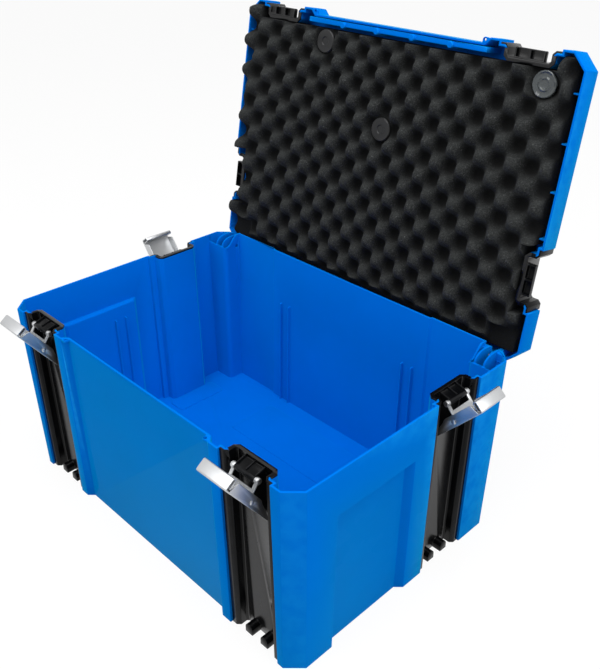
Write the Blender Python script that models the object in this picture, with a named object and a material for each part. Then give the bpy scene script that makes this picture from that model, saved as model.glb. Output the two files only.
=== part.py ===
"""Stackable tool case with an open foam-lined lid and four steel toggle latches.

Frame: X along the case, Y from front to back, Z up, origin under the middle of the tub.
Lengths are in metres. The model stands as in use with the lid open and the latches off.
"""
import math

import bmesh
import bpy
from mathutils import Matrix, Vector

for old in list(bpy.data.objects):
    bpy.data.objects.remove(old, do_unlink=True)

# Overall case
CASE_LENGTH = 0.600
CASE_DEPTH = 0.408
TUB_HEIGHT = 0.280
LID_HEIGHT = 0.034
WALL = 0.003
FLOOR = 0.0035
LID_TOP = 0.0035
CORNER_CUT = 0.020
TAPER = 0.006
CLEARANCE = 0.0003
OPEN_ANGLE = math.radians(100)

# Wall troughs for the latches
CHANNEL_FROM_END = 0.0795
CHANNEL_FROM_BACK = 0.121
TROUGH_WIDTH = 0.0616
TROUGH_DEPTH = 0.0158
TROUGH_FILLET = 0.004
RAIL_WIDTH = 0.0122
RAIL_SETBACK = 0.003
RAIL_FILLET = 0.003
LINER_WALL = 0.0022
LIP_HEIGHT = 0.0025
LIP_START = 0.001

# Panels set into the walls
PANEL_STRIP = 0.0165
PANEL_INSET = 0.008
BACK_SET = 0.004
BACK_PANEL_INSET = 0.003
BACK_PANEL_STRIP = 0.0885
BACK_RISE = 0.006
GRIP_DEPTH = 0.009
GRIP_FRONT = 0.070
GRIP_LENGTH = 0.137
GRIP_HEIGHT = 0.215
EYELET_RADIUS = 0.002
EYELET_RIM = 0.0014
EYELET_THICK = 0.004

# Hinge at the back corners
COLUMN_WIDTH = 0.0465
COLUMN_DEPTH = 0.0405
COLUMN_ROUND = 0.008
COLUMN_DROP = 0.0115
CHEEK_START = 0.007
CHEEK_RUN = 0.021
CHEEK_HOLE_RADIUS = 0.0028
CHEEK_HOLE_FROM_FRONT = 0.0265
CHEEK_HOLE_DROP = 0.0150
SLOT_WIDTH = 0.0047
POCKET_WIDTH = 0.0116
PLATE_START = 0.0015
PLATE_RUN = 0.020
PLATE_RISE = 0.002
HINGE_FROM_BACK = 0.0067
HINGE_DROP = 0.0128
HINGE_PIN_RADIUS = 0.0025
KNUCKLE_RADIUS = 0.0062
KNUCKLE_SIDE_GAP = 0.0025

# Divider ribs inside the tub
RIB_THICK = 0.002
RIB_PROUD = 0.005
RIB_HEIGHT = 0.195
RIB_SPACING = 0.019
RIB_PLACE = 0.132
SIDE_RIB_FROM_FRONT = 0.170

# Lid inner forms
TONGUE_SETBACK = 0.0012
TONGUE_DROP = 0.003
TONGUE_THICK = 0.0068
POST_RADIUS = 0.0045
POST_DROP = 0.007
POST_SPACING = 0.0645
POST_SHIFT = 0.008
LID_RIB_FROM_FRONT = 0.048
LID_RIB_COUNT = 4
LID_RIB_FROM_TROUGH = 0.0097
LID_PANEL_INSET = 0.026
LID_PANEL_SINK = 0.0012

# Latch: pivot on the tub, link, lever
PIVOT_DEPTH = 0.005
PIVOT_DROP = 0.0115
PIN_RADIUS = 0.0025
PIN_HEAD = 0.0008
BOSS_WIDTH = 0.0325
BOSS_RADIUS = 0.0042
EYE_RADIUS = 0.004
EYE_WIDTH = 0.005
LINK_REACH = 0.0233
LINK_THICK = 0.0018
LINK_BAR_TOP = 0.011
LINK_SWING = math.radians(35.4)
RIGHT_FURTHER = math.radians(5.5)
LEVER_PIN_RADIUS = 0.002
LEVER_EYE_RADIUS = 0.0036
LEVER_SWING = math.radians(72.1)
LEVER_SEAT = 0.0061
LEVER_TAIL = 0.050
LEVER_REACH = 0.051
SHEET = 0.0015
FLANGE_HEIGHT = 0.0145
HEM_LENGTH = 0.0065
HEM_HEIGHT = 0.016
NOSE_HEIGHT = 0.0085
LUG_WIDTH = 0.013
LUG_HEIGHT = 0.015
LUG_SPACING = 0.028

# Foam
FOAM_PITCH = 0.035
FOAM_GAP = 0.004
FOAM_SIDE_GAP = 0.010
FOAM_PROUD = 0.014
FOAM_VALLEY = 0.008
FOAM_HEEL_REACH = 0.0125
FOAM_HEEL_RISE = 0.0145
FOAM_HEEL_EASE = 0.003
PLUG_RADIUS = 0.017
PLUG_THICK = 0.003
PLUG_STEM = 0.003
PLUG_LEVEL = 0.002
PLUG_FROM_FRONT = 0.0435
PLUG_RIGHT_FROM_END = 0.050
PLUG_LEFT_FROM_END = 0.176
PLUG_MIDDLE_X = 0.007
PLUG_MIDDLE_FROM_FRONT = 0.149

# Derived places
HL = CASE_LENGTH / 2
HW = CASE_DEPTH / 2
H = TUB_HEIGHT
TR = TROUGH_WIDTH / 2 + LINER_WALL + CLEARANCE
RAIL_SEAT = RAIL_SETBACK + LINER_WALL + CLEARANCE
TD = RAIL_SETBACK + TROUGH_DEPTH + LINER_WALL + CLEARANCE
BACK_FACE = RAIL_SETBACK + TROUGH_DEPTH
MOUTH = TROUGH_WIDTH / 2 + RAIL_WIDTH + CLEARANCE
FRONT_X = HL - CHANNEL_FROM_END
SIDE_Y = HW - CHANNEL_FROM_BACK
PANEL_X = FRONT_X - MOUTH - PANEL_STRIP
COLUMN_X = HL - COLUMN_WIDTH
COLUMN_Y = HW - COLUMN_DEPTH
BACK_Y = HW - BACK_SET
BACK_PANEL_X = COLUMN_X - BACK_PANEL_STRIP
HINGE_Y = HW - HINGE_FROM_BACK
HINGE_Z = H - HINGE_DROP
PLATE_X = COLUMN_X + WALL + SLOT_WIDTH
POCKET_X0 = PLATE_X + WALL
POCKET_X1 = POCKET_X0 + POCKET_WIDTH
LID_BASE = H + CLEARANCE
LID_CEILING = H + LID_HEIGHT - LID_TOP


def material(name, colour, roughness, metallic=0.0, alpha=1.0):
    mat = bpy.data.materials.new(name)
    mat.use_nodes = True
    shader = mat.node_tree.nodes["Principled BSDF"]
    shader.inputs["Base Color"].default_value = (*colour, 1.0)
    shader.inputs["Roughness"].default_value = roughness
    shader.inputs["Metallic"].default_value = metallic
    shader.inputs["Alpha"].default_value = alpha
    mat.diffuse_color = (*colour, alpha)
    return mat


BLUE = ((0.004, 0.160, 0.560), 0.32, 0.0)
BLACK = ((0.028, 0.028, 0.030), 0.50, 0.0)
STEEL = ((0.620, 0.630, 0.650), 0.30, 1.0)
FOAM = ((0.016, 0.016, 0.017), 0.95, 0.0)
PLUG = ((0.050, 0.050, 0.053), 0.45, 0.0)


def mesh_from(bm):
    bmesh.ops.recalc_face_normals(bm, faces=bm.faces)
    mesh = bpy.data.meshes.new("form")
    bm.to_mesh(mesh)
    bm.free()
    return mesh


def loft(rings):
    """Closed solid through rings of equal length, each a list of 3-D points."""
    bm = bmesh.new()
    rows = [[bm.verts.new(p) for p in ring] for ring in rings]
    count = len(rows[0])
    for low, high in zip(rows, rows[1:]):
        for i in range(count):
            j = (i + 1) % count
            bm.faces.new((low[i], low[j], high[j], high[i]))
    bm.faces.new(list(reversed(rows[0])))
    bm.faces.new(rows[-1])
    return mesh_from(bm)


def prism_z(points, z0, z1):
    return loft([[(x, y, z) for x, y in points] for z in (z0, z1)])


def prism_x(points, x0, x1):
    """Solid from a (y, z) outline, pushed along X."""
    return loft([[(x, y, z) for y, z in points] for x in (x0, x1)])


def prism_y(points, y0, y1):
    """Solid from an (x, z) outline, pushed along Y."""
    return loft([[(x, y, z) for x, z in points] for y in (y0, y1)])


def block(x0, x1, y0, y1, z0, z1):
    return prism_z([(x0, y0), (x1, y0), (x1, y1), (x0, y1)], z0, z1)


def arc(cx, cy, radius, start, end, steps):
    """Points on an arc, angles in degrees."""
    turn = [math.radians(start + (end - start) * k / steps) for k in range(steps + 1)]
    return [(cx + radius * math.cos(a), cy + radius * math.sin(a)) for a in turn]


def rod_x(x0, x1, y, z, radius, steps=16):
    return prism_x(arc(y, z, radius, 0, 360 - 360 / steps, steps - 1), x0, x1)


def turned_x(profile, steps=16):
    """Body of revolution about X from (x, radius) pairs."""
    rings = []
    for x, radius in profile:
        rings.append([(x, y, z) for y, z in arc(0, 0, radius, 0, 360 - 360 / steps, steps - 1)])
    return loft(rings)


def taper_at(z):
    return TAPER * (1 - z / H)


def drafted(points, z0, z1):
    """Prism whose points (x, y, lean x, lean y) lean in towards the floor."""
    rings = []
    for z in (z0, z1):
        t = taper_at(z)
        rings.append([(x + lx * t, y + ly * t, z) for x, y, lx, ly in points])
    return loft(rings)


def offset_corner(before, here, after, distance):
    """Corner moved to the left of travel by a distance, with a mitre."""
    a = Vector((here[0] - before[0], here[1] - before[1])).normalized()
    b = Vector((after[0] - here[0], after[1] - here[1])).normalized()
    na = Vector((-a.y, a.x))
    nb = Vector((-b.y, b.x))
    shift = (na + nb) * (distance / (1 + na.dot(nb)))
    return (here[0] + shift.x, here[1] + shift.y)


def inset(points, distance):
    count = len(points)
    moved = []
    for i, point in enumerate(points):
        corner = offset_corner(points[i - 1], point, points[(i + 1) % count], distance)
        moved.append((*corner, *point[2:]))
    return moved


def offset_path(path, distance):
    """Open path moved to the left of travel."""
    first = (2 * path[0][0] - path[1][0], 2 * path[0][1] - path[1][1])
    last = (2 * path[-1][0] - path[-2][0], 2 * path[-1][1] - path[-2][1])
    padded = [first, *path, last]
    return [offset_corner(*padded[i:i + 3], distance) for i in range(len(path))]


def rounded_path(path, radius, steps=3):
    """Open path with its inner corners turned into arcs."""
    result = [path[0]]
    for before, here, after in zip(path, path[1:], path[2:]):
        p = Vector(here)
        a = (Vector(before) - p).normalized()
        b = (Vector(after) - p).normalized()
        half = a.angle(b) / 2
        reach = radius / math.tan(half)
        centre = p + (a + b).normalized() * (radius / math.sin(half))
        start = p + a * reach - centre
        sweep = (p + b * reach - centre).angle_signed(start)
        for k in range(steps + 1):
            result.append(tuple(centre + Matrix.Rotation(sweep * k / steps, 2) @ start))
    result.append(path[-1])
    return result


def strip(path, thickness):
    """Closed outline of a sheet that follows an open path on its right-hand face."""
    return path + list(reversed(offset_path(path, thickness)))


def make(name, mesh, finish, parent=None, place=None):
    mesh = mesh.copy()
    mesh.name = name
    mesh.shade_smooth()
    mesh.set_sharp_from_angle(angle=math.radians(32))
    mesh.materials.append(material(name + "_finish", *finish))
    obj = bpy.data.objects.new(name, mesh)
    bpy.context.scene.collection.objects.link(obj)
    obj.parent = parent
    if place is not None:
        obj.matrix_local = place
    return obj


def joined(meshes):
    bm = bmesh.new()
    for mesh in meshes:
        bm.from_mesh(mesh)
        bpy.data.meshes.remove(mesh)
    mesh = bpy.data.meshes.new("form")
    bm.to_mesh(mesh)
    bm.free()
    return mesh


def combine(base, operation, others):
    """Boolean of a mesh with several separate bodies, given back as a mesh."""
    target = bpy.data.objects.new("target", base)
    tool = bpy.data.objects.new("tool", joined(others))
    for obj in (target, tool):
        bpy.context.scene.collection.objects.link(obj)
    step = target.modifiers.new("step", "BOOLEAN")
    step.operation = operation
    step.solver = "EXACT"
    step.object = tool
    graph = bpy.context.evaluated_depsgraph_get()
    result = bpy.data.meshes.new_from_object(target.evaluated_get(graph))
    bpy.data.objects.remove(target, do_unlink=True)
    bpy.data.meshes.remove(base)
    bpy.data.objects.remove(tool, do_unlink=True)
    return result


def union(base, *others):
    for other in others:
        base = combine(base, "UNION", [other])
    return base


def cut(base, *others):
    return combine(base, "DIFFERENCE", list(others))


def empty(name, parent=None, location=(0, 0, 0), rotation=(0, 0, 0)):
    obj = bpy.data.objects.new(name, None)
    bpy.context.scene.collection.objects.link(obj)
    obj.parent = parent
    obj.location = location
    obj.rotation_euler = rotation
    return obj


def mirrored_x(points):
    return [(-x, y) for x, y in reversed(points)]


# Trough outline, along the wall and into it. The tub, the lid, the liners and the catches share it.
HALF_TROUGH = [
    (-TR - RAIL_FILLET, RAIL_SEAT),
    (-TR, RAIL_SEAT + RAIL_FILLET),
    (-TR, TD - TROUGH_FILLET),
    (-TR + TROUGH_FILLET, TD),
]
TROUGH = HALF_TROUGH + mirrored_x(HALF_TROUGH)
SEAT = [(-MOUTH, 0.0), (-MOUTH, RAIL_SEAT), *TROUGH, (MOUTH, RAIL_SEAT), (MOUTH, 0.0)]


def wall_outline(back):
    """Outline seen from above, anticlockwise, each point with the way its wall leans."""
    front = [(-HL + CORNER_CUT, -HW, 1, 1)]
    row = [(-FRONT_X + t, n) for t, n in SEAT]
    row += [(-PANEL_X, 0), (-PANEL_X + PANEL_INSET, PANEL_INSET)]
    row += [(PANEL_X - PANEL_INSET, PANEL_INSET), (PANEL_X, 0)]
    row += [(FRONT_X + t, n) for t, n in SEAT]
    front += [(x, -HW + n, 0, 1) for x, n in row]
    front += [(HL - CORNER_CUT, -HW, -1, 1)]
    right = [(HL, -HW + CORNER_CUT, -1, 1)]
    right += [(HL - n, SIDE_Y + t, -1, 0) for t, n in SEAT]
    right += [(HL, HW - CORNER_CUT, -1, -1)]
    rear = [(HL - CORNER_CUT, HW, -1, -1)]
    rear += [(x, y, 0, -1) for x, y in back]
    rear += [(-HL + CORNER_CUT, HW, 1, -1)]
    left = [(-HL, HW - CORNER_CUT, 1, -1)]
    left += [(-HL + n, SIDE_Y - t, 1, 0) for t, n in SEAT]
    left += [(-HL, -HW + CORNER_CUT, 1, 1)]
    return front + right + rear + left


BACK_STEPS = [
    (COLUMN_X - WALL, HW),
    (COLUMN_X - WALL, BACK_Y),
    (BACK_PANEL_X, BACK_Y),
    (BACK_PANEL_X - BACK_PANEL_INSET, BACK_Y - BACK_PANEL_INSET),
]
TUB_OUTLINE = wall_outline(BACK_STEPS + mirrored_x(BACK_STEPS))
LID_OUTLINE = [point[:2] for point in wall_outline([])]

LATCHES = {
    "front_left": Matrix.Translation((-FRONT_X, -HW, H)),
    "front_right": Matrix.Translation((FRONT_X, -HW, H)),
    "right_side": Matrix.Translation((HL, SIDE_Y, H)) @ Matrix.Rotation(math.pi / 2, 4, "Z"),
    "left_side": Matrix.Translation((-HL, SIDE_Y, H)) @ Matrix.Rotation(-math.pi / 2, 4, "Z"),
}
FLIP = Matrix.Scale(-1, 4, (1, 0, 0))


def moved(mesh, matrix):
    mesh.transform(matrix)
    if matrix.determinant() < 0:
        mesh.flip_normals()
    return mesh


def both_sides(mesh):
    """A form of the right half and its mirror image."""
    return [mesh, moved(mesh.copy(), FLIP)]


def at_latches(mesh):
    """The same form at the four latch places."""
    places = [moved(mesh.copy(), matrix) for matrix in LATCHES.values()]
    bpy.data.meshes.remove(mesh)
    return places


EYELET_X = PANEL_X - PANEL_INSET
EYELET_Y = -HW + 0.45 * PANEL_INSET


def eyelet(z0):
    """Tab that fills the step of the front panel at the rim, right half."""
    outside = EYELET_RADIUS + EYELET_RIM
    middle = -HW + PANEL_INSET + WALL / 2
    outline = arc(EYELET_X, EYELET_Y, outside, 180, 285, 5)
    outline += [(PANEL_X + 0.15 * WALL, -HW + 0.4 * WALL)]
    outline += [(EYELET_X + 0.2 * WALL, middle), (EYELET_X - outside, middle)]
    return prism_z(outline, z0, z0 + EYELET_THICK)


def eyelet_hole(z0):
    circle = arc(EYELET_X, EYELET_Y, EYELET_RADIUS, 0, 330, 11)
    return prism_z(circle, z0 - EYELET_THICK, z0 + 2 * EYELET_THICK)


# Tub
def lean_mirror(points):
    return [(-x, y, -lx, ly) for x, y, lx, ly in reversed(points)]


column = arc(COLUMN_X + COLUMN_ROUND, COLUMN_Y + COLUMN_ROUND, COLUMN_ROUND, 180, 270, 4)
column += [(HL + WALL, COLUMN_Y), (HL + WALL, HW + WALL), (COLUMN_X, HW + WALL)]
GRIP_Y0 = -HW + GRIP_FRONT
GRIP_Y1 = GRIP_Y0 + GRIP_LENGTH
grip = [
    (HL + GRIP_DEPTH, GRIP_Y0 - GRIP_DEPTH, -1, 0),
    (HL + GRIP_DEPTH, GRIP_Y1 + GRIP_DEPTH, -1, 0),
    (HL - GRIP_DEPTH, GRIP_Y1 - GRIP_DEPTH, -1, 0),
    (HL - GRIP_DEPTH, GRIP_Y0 + GRIP_DEPTH, -1, 0),
]
bulge = inset(grip, -WALL)
ABOVE = H + 2 * BACK_RISE
cavity = drafted(inset(TUB_OUTLINE, WALL), FLOOR, ABOVE)
cavity = cut(cavity, *both_sides(prism_z(column, -FLOOR, ABOVE + FLOOR)))
bulges = [drafted(outline, -FLOOR, GRIP_HEIGHT + WALL) for outline in (bulge, lean_mirror(bulge))]
cavity = cut(cavity, *bulges)

tub_form = cut(drafted(TUB_OUTLINE, 0, H + BACK_RISE), cavity)
beyond = HL + GRIP_DEPTH
behind = HW + GRIP_DEPTH
rise_front = BACK_Y - BACK_PANEL_INSET - 2 * WALL
above_rim = [
    (-beyond, -behind), (beyond, -behind), (beyond, behind), (COLUMN_X, behind),
    (COLUMN_X, rise_front), (-COLUMN_X, rise_front), (-COLUMN_X, behind), (-beyond, behind),
]
tub_form = cut(tub_form, prism_z(above_rim, H, ABOVE))
rise_back = BACK_Y + 2 * CLEARANCE
rise_end = COLUMN_X + WALL
tub_form = cut(tub_form, block(-rise_end, rise_end, rise_back, behind, H, ABOVE))
recesses = [drafted(outline, -FLOOR, GRIP_HEIGHT) for outline in (grip, lean_mirror(grip))]
tub_form = cut(tub_form, *recesses)

inner_chamfer = HL + HW - CORNER_CUT - WALL * math.sqrt(2)
inner_side = HL - WALL
void_front = COLUMN_Y + WALL
void_back = HW - TAPER - WALL
column_back = HINGE_Y - KNUCKLE_RADIUS
CHEEK_X = POCKET_X1 + WALL
void = block(POCKET_X0, POCKET_X1, void_front, void_back, 2 * FLOOR, ABOVE)
slot_void = block(rise_end, PLATE_X, void_front, column_back, 2 * FLOOR, ABOVE)
corner_void = drafted([
    (CHEEK_X, void_front, 0, 0), (inner_side, void_front, -1, 0),
    (inner_side, inner_chamfer - inner_side, -1, -1),
    (inner_chamfer - column_back, column_back, -1, -1), (CHEEK_X, column_back, 0, -1),
], H / 2, ABOVE)
tub_form = cut(tub_form, *both_sides(void), *both_sides(slot_void), *both_sides(corner_void))

# The column's front rim lies lower than the tub's; its plates rise towards the hinge.
column_rim = H - COLUMN_DROP
low_side = inner_side - 2 * CLEARANCE
low_chamfer = inner_chamfer - 2 * CLEARANCE
low_front = COLUMN_Y - CLEARANCE
low_inside = COLUMN_X - CLEARANCE
lowered = [
    (low_inside, low_front), (low_side, low_front), (low_side, low_chamfer - low_side),
    (low_chamfer - column_back, column_back), (low_inside, column_back),
]
tub_form = cut(tub_form, *both_sides(prism_z(lowered, column_rim, ABOVE)))

# The lid's rear edge swings past this bevel along the top of the columns.
swing = math.hypot(HINGE_FROM_BACK - WALL, HINGE_DROP + CLEARANCE) - 2 * CLEARANCE
bevel_start = math.sqrt(max(0.0, swing ** 2 - HINGE_DROP ** 2))
bevel_drop = HINGE_DROP - math.sqrt(max(0.0, swing ** 2 - HINGE_FROM_BACK ** 2))
bevel_slope = bevel_drop / (HINGE_FROM_BACK - bevel_start)
bevel_end = H - bevel_slope * (behind - HINGE_Y - bevel_start)
rear_bevel = [(HINGE_Y + bevel_start, H), (behind, bevel_end), (behind, ABOVE), (HINGE_Y + bevel_start, ABOVE)]
tub_form = cut(tub_form, prism_x(rear_bevel, -beyond, beyond))

# The lid's necks come to rest on the sills of these openings when the lid is open.
past_upright = OPEN_ANGLE - math.pi / 2
neck_drop = KNUCKLE_RADIUS + HINGE_FROM_BACK * math.sin(past_upright)
sill = HINGE_Z - neck_drop / math.cos(past_upright) - CLEARANCE
knuckle_front = HINGE_Y - KNUCKLE_RADIUS - 2 * CLEARANCE
opening = block(POCKET_X0, POCKET_X1, knuckle_front - WALL, behind, sill, ABOVE)
tub_form = cut(tub_form, *both_sides(opening))

cheek_top = H + BACK_RISE
cheek_foot = column_rim - WALL
cheek = [(COLUMN_Y + CHEEK_START, cheek_foot)]
for k in range(9):
    share = k / 8
    rise = share * share * (3 - 2 * share)
    cheek.append((COLUMN_Y + CHEEK_START + CHEEK_RUN * share, column_rim + (cheek_top - column_rim) * rise))
cheek += [(BACK_Y, cheek_top), (BACK_Y, cheek_foot)]
tub_form = union(tub_form, joined(both_sides(prism_x(cheek, COLUMN_X, rise_end))))
plate_front = COLUMN_Y + PLATE_START
plate_top = H + PLATE_RISE
hinge_plate = [(plate_front, cheek_foot)]
for k in range(8):
    turn = math.pi - k / 7 * math.pi / 2
    hinge_plate.append((plate_front + PLATE_RUN * (1 + math.cos(turn)),
                        column_rim + (plate_top - column_rim) * math.sin(turn)))
hinge_plate += [(BACK_Y - WALL, plate_top), (BACK_Y - WALL, cheek_foot)]
for start, end in ((PLATE_X, POCKET_X0), (POCKET_X1, CHEEK_X)):
    tub_form = union(tub_form, joined(both_sides(prism_x(hinge_plate, start, end))))
tub_form = union(tub_form, joined(both_sides(eyelet(H - EYELET_THICK))))

seat_path = [(-TR, RAIL_SEAT + RAIL_FILLET + LIP_START - CLEARANCE), *HALF_TROUGH[2:]]
seat_path += mirrored_x(seat_path)
lip_seat = offset_path(seat_path, -LINER_WALL) + list(reversed(offset_path(seat_path, 2 * WALL)))
tub_form = cut(tub_form, *at_latches(prism_z(lip_seat, -LIP_HEIGHT - CLEARANCE, WALL)))

ribs = []
front_face = -HW + PANEL_INSET + WALL
back_face = BACK_Y - BACK_PANEL_INSET - WALL
side_face = HL - GRIP_DEPTH - WALL
SINK = WALL / 3
for side in (-0.5, 0.5):
    for end in (-1, 1):
        x0 = end * RIB_PLACE + side * RIB_SPACING - RIB_THICK / 2
        for y0, y1, lean in ((front_face - SINK, front_face + RIB_PROUD, 1),
                             (back_face - RIB_PROUD, back_face + SINK, -1)):
            foot = [(x0, y0), (x0 + RIB_THICK, y0), (x0 + RIB_THICK, y1), (x0, y1)]
            ribs.append(drafted([(x, y, 0, lean) for x, y in foot], FLOOR - SINK, RIB_HEIGHT))
    y0 = -HW + SIDE_RIB_FROM_FRONT + side * RIB_SPACING - RIB_THICK / 2
    reach = (side_face - RIB_PROUD, side_face + SINK)
    foot = [(reach[0], y0), (reach[1], y0), (reach[1], y0 + RIB_THICK), (reach[0], y0 + RIB_THICK)]
    foot = [(x, y, -1, 0) for x, y in foot]
    ribs += [drafted(outline, FLOOR - SINK, RIB_HEIGHT) for outline in (foot, lean_mirror(foot))]
tub_form = union(tub_form, joined(ribs))

pin_bore = HINGE_PIN_RADIUS + CLEARANCE
pin_hole = rod_x(COLUMN_X + SINK, HL, HINGE_Y, HINGE_Z, pin_bore)
tub_form = cut(tub_form, *both_sides(pin_hole), *both_sides(eyelet_hole(H - EYELET_THICK)))
hole_y = COLUMN_Y + CHEEK_HOLE_FROM_FRONT
hole_z = H - CHEEK_HOLE_DROP
cheek_hole = rod_x(COLUMN_X - WALL, rise_end + SLOT_WIDTH / 2, hole_y, hole_z, CHEEK_HOLE_RADIUS)
tub_form = cut(tub_form, *both_sides(cheek_hole))
make("tub", tub_form, BLUE)

rod_start = COLUMN_X + SINK + CLEARANCE
hinge_rod = rod_x(rod_start, CHEEK_X + WALL / 2, HINGE_Y, HINGE_Z, HINGE_PIN_RADIUS)
right_rod, left_rod = both_sides(hinge_rod)
make("hinge_pin_right", right_rod, STEEL)
make("hinge_pin_left", left_rod, STEEL)

# Lid, drawn closed and then turned open about the hinge
lid_axis = empty("lid_axis", None, (0, HINGE_Y, HINGE_Z), (-OPEN_ANGLE, 0, 0))
TO_HINGE = Matrix.Translation((0, -HINGE_Y, -HINGE_Z))
lid_top = H + LID_HEIGHT
top_edge = [(x, y, lid_top) for x, y in inset(LID_OUTLINE, WALL)]
lid_rings = [[(x, y, z) for x, y in LID_OUTLINE] for z in (LID_BASE, lid_top - WALL)]
lid_form = loft([*lid_rings, top_edge])
lid_form = cut(lid_form, prism_z(inset(LID_OUTLINE, WALL), H - WALL, LID_CEILING))
field_x = HL - TD - LID_PANEL_INSET
field_y = HW - TD - LID_PANEL_INSET
field = block(-field_x, field_x, -field_y, field_y, lid_top - LID_PANEL_SINK, lid_top + WALL)
lid_form = cut(lid_form, field)

INTO_TOP = LID_CEILING + SINK
neck = arc(HINGE_Y, HINGE_Z, KNUCKLE_RADIUS, 180, 360, 10)
neck += [(HINGE_Y + KNUCKLE_RADIUS, lid_top - 2 * WALL), (HINGE_Y, INTO_TOP)]
neck += [(HINGE_Y - KNUCKLE_RADIUS, INTO_TOP)]
necks = prism_x(neck, POCKET_X0 + KNUCKLE_SIDE_GAP, POCKET_X1 - KNUCKLE_SIDE_GAP)
lid_form = union(lid_form, joined(both_sides(necks)))

tongue_y = front_face + TONGUE_SETBACK
tongue_back = tongue_y + TONGUE_THICK
tongue = block(-PANEL_X, PANEL_X, tongue_y, tongue_back, H - TONGUE_DROP, INTO_TOP)
lid_form = union(lid_form, tongue)
posts = []
post_y = tongue_y + CLEARANCE + POST_RADIUS
for k in (-1.5, -0.5, 0.5, 1.5):
    post = arc(POST_SHIFT + k * POST_SPACING, post_y, POST_RADIUS, 0, 330, 11)
    posts.append(prism_z(post, H - POST_DROP, INTO_TOP))
lid_form = union(lid_form, joined(posts))

lid_ribs = []
first_rib = -HW + LID_RIB_FROM_FRONT
last_rib = SIDE_Y - MOUTH - WALL - LID_RIB_FROM_TROUGH
for k in range(LID_RIB_COUNT):
    y0 = first_rib + (last_rib - first_rib) * k / (LID_RIB_COUNT - 1) - RIB_THICK / 2
    rib_base = H + RIB_PROUD
    right_end = HL - WALL - FOAM_SIDE_GAP + 2 * CLEARANCE
    left_end = HL - WALL - FOAM_GAP + 2 * CLEARANCE
    sunk = HL - WALL + SINK
    lid_ribs.append(block(right_end, sunk, y0, y0 + RIB_THICK, rib_base, INTO_TOP))
    lid_ribs.append(block(-sunk, -left_end, y0, y0 + RIB_THICK, rib_base, INTO_TOP))
lid_form = union(lid_form, joined(lid_ribs))
lid_form = union(lid_form, joined(both_sides(eyelet(LID_BASE))))
pin_hole = rod_x(COLUMN_X, CHEEK_X, HINGE_Y, HINGE_Z, pin_bore)
lid_form = cut(lid_form, *both_sides(pin_hole), *both_sides(eyelet_hole(LID_BASE)))
catch_base = 2 * CLEARANCE
lip_top = catch_base + LIP_HEIGHT
lid_form = cut(lid_form, *at_latches(prism_z(lip_seat, -WALL, lip_top + CLEARANCE)))
make("lid", moved(lid_form, TO_HINGE), BLUE, lid_axis)

# Channel liners and lid catches share the trough section
liner_path = [(-MOUTH + CLEARANCE, RAIL_SEAT), *TROUGH, (MOUTH - CLEARANCE, RAIL_SEAT)]
against_wall = offset_path(liner_path, -CLEARANCE)
open_face = offset_path(liner_path, -CLEARANCE - LINER_WALL)
liner_section = against_wall + list(reversed(open_face))
liner_rings = []
for z in (2 * CLEARANCE, H):
    lean = taper_at(z)
    liner_rings.append([(t, n + lean, z - H) for t, n in liner_section])
liner_form = loft(liner_rings)
lip_path = [(-TR, RAIL_SEAT + RAIL_FILLET + LIP_START), *HALF_TROUGH[2:]]
lip_path += mirrored_x(lip_path)
lip = offset_path(lip_path, -CLEARANCE - LINER_WALL / 2) + list(reversed(offset_path(lip_path, WALL)))
liner_form = union(liner_form, prism_z(lip, -LIP_HEIGHT, 0))

SUNK_BACK = BACK_FACE + LINER_WALL / 2
boss = arc(PIVOT_DEPTH, -PIVOT_DROP, BOSS_RADIUS, 75, 270, 9)
boss += [(SUNK_BACK, -PIVOT_DROP - 3 * BOSS_RADIUS), (SUNK_BACK, -PIVOT_DROP + 1.7 * BOSS_RADIUS)]
liner_form = union(liner_form, prism_x(boss, -BOSS_WIDTH / 2, BOSS_WIDTH / 2))
lugs = []
lug_round = LUG_WIDTH / 2
lug_front = PIVOT_DEPTH + TAPER
lug_base = 2 * CLEARANCE - H
for side in (-0.5, 0.5):
    lug = arc(side * LUG_SPACING, LUG_HEIGHT - lug_round - H, lug_round, 0, 180, 8)
    lug += [(side * LUG_SPACING - lug_round, lug_base), (side * LUG_SPACING + lug_round, lug_base)]
    lugs.append(prism_y(lug, lug_front, SUNK_BACK + taper_at(LUG_HEIGHT)))
liner_form = union(liner_form, joined(lugs))
bore = PIN_RADIUS + CLEARANCE
liner_form = cut(liner_form, rod_x(-BOSS_WIDTH, BOSS_WIDTH, PIVOT_DEPTH, -PIVOT_DROP, bore))

EYE_IN = BOSS_WIDTH / 2 + CLEARANCE
EYE_OUT = EYE_IN + EYE_WIDTH
PIN_HALF = EYE_OUT + CLEARANCE + PIN_HEAD
LEVER_IN = PIN_HALF + CLEARANCE
LEVER_OUT = LEVER_IN + SHEET

nose_half = LEVER_IN - SHEET
hem_low = LEVER_REACH - HEM_LENGTH - PIVOT_DROP - LINK_REACH
nose_top = min(NOSE_HEIGHT, hem_low - CLEARANCE)
nose_front = RAIL_SEAT
catch_form = prism_z(liner_section, catch_base, LID_HEIGHT)
catch_form = union(catch_form, prism_z(lip, catch_base, lip_top))
nose = [(nose_front, 3 * CLEARANCE), (SUNK_BACK, 3 * CLEARANCE), (SUNK_BACK, nose_top),
        (nose_front + SHEET, nose_top), (nose_front, nose_top - SHEET)]
catch_form = union(catch_form, prism_x(nose, -nose_half, nose_half))
pocket_in = SHEET
pocket_out = nose_half - 1.5 * SHEET
pocket = block(pocket_in, pocket_out, nose_front + SHEET, BACK_FACE - SHEET, -SHEET, nose_top - SHEET)
catch_form = cut(catch_form, *both_sides(pocket))

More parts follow.
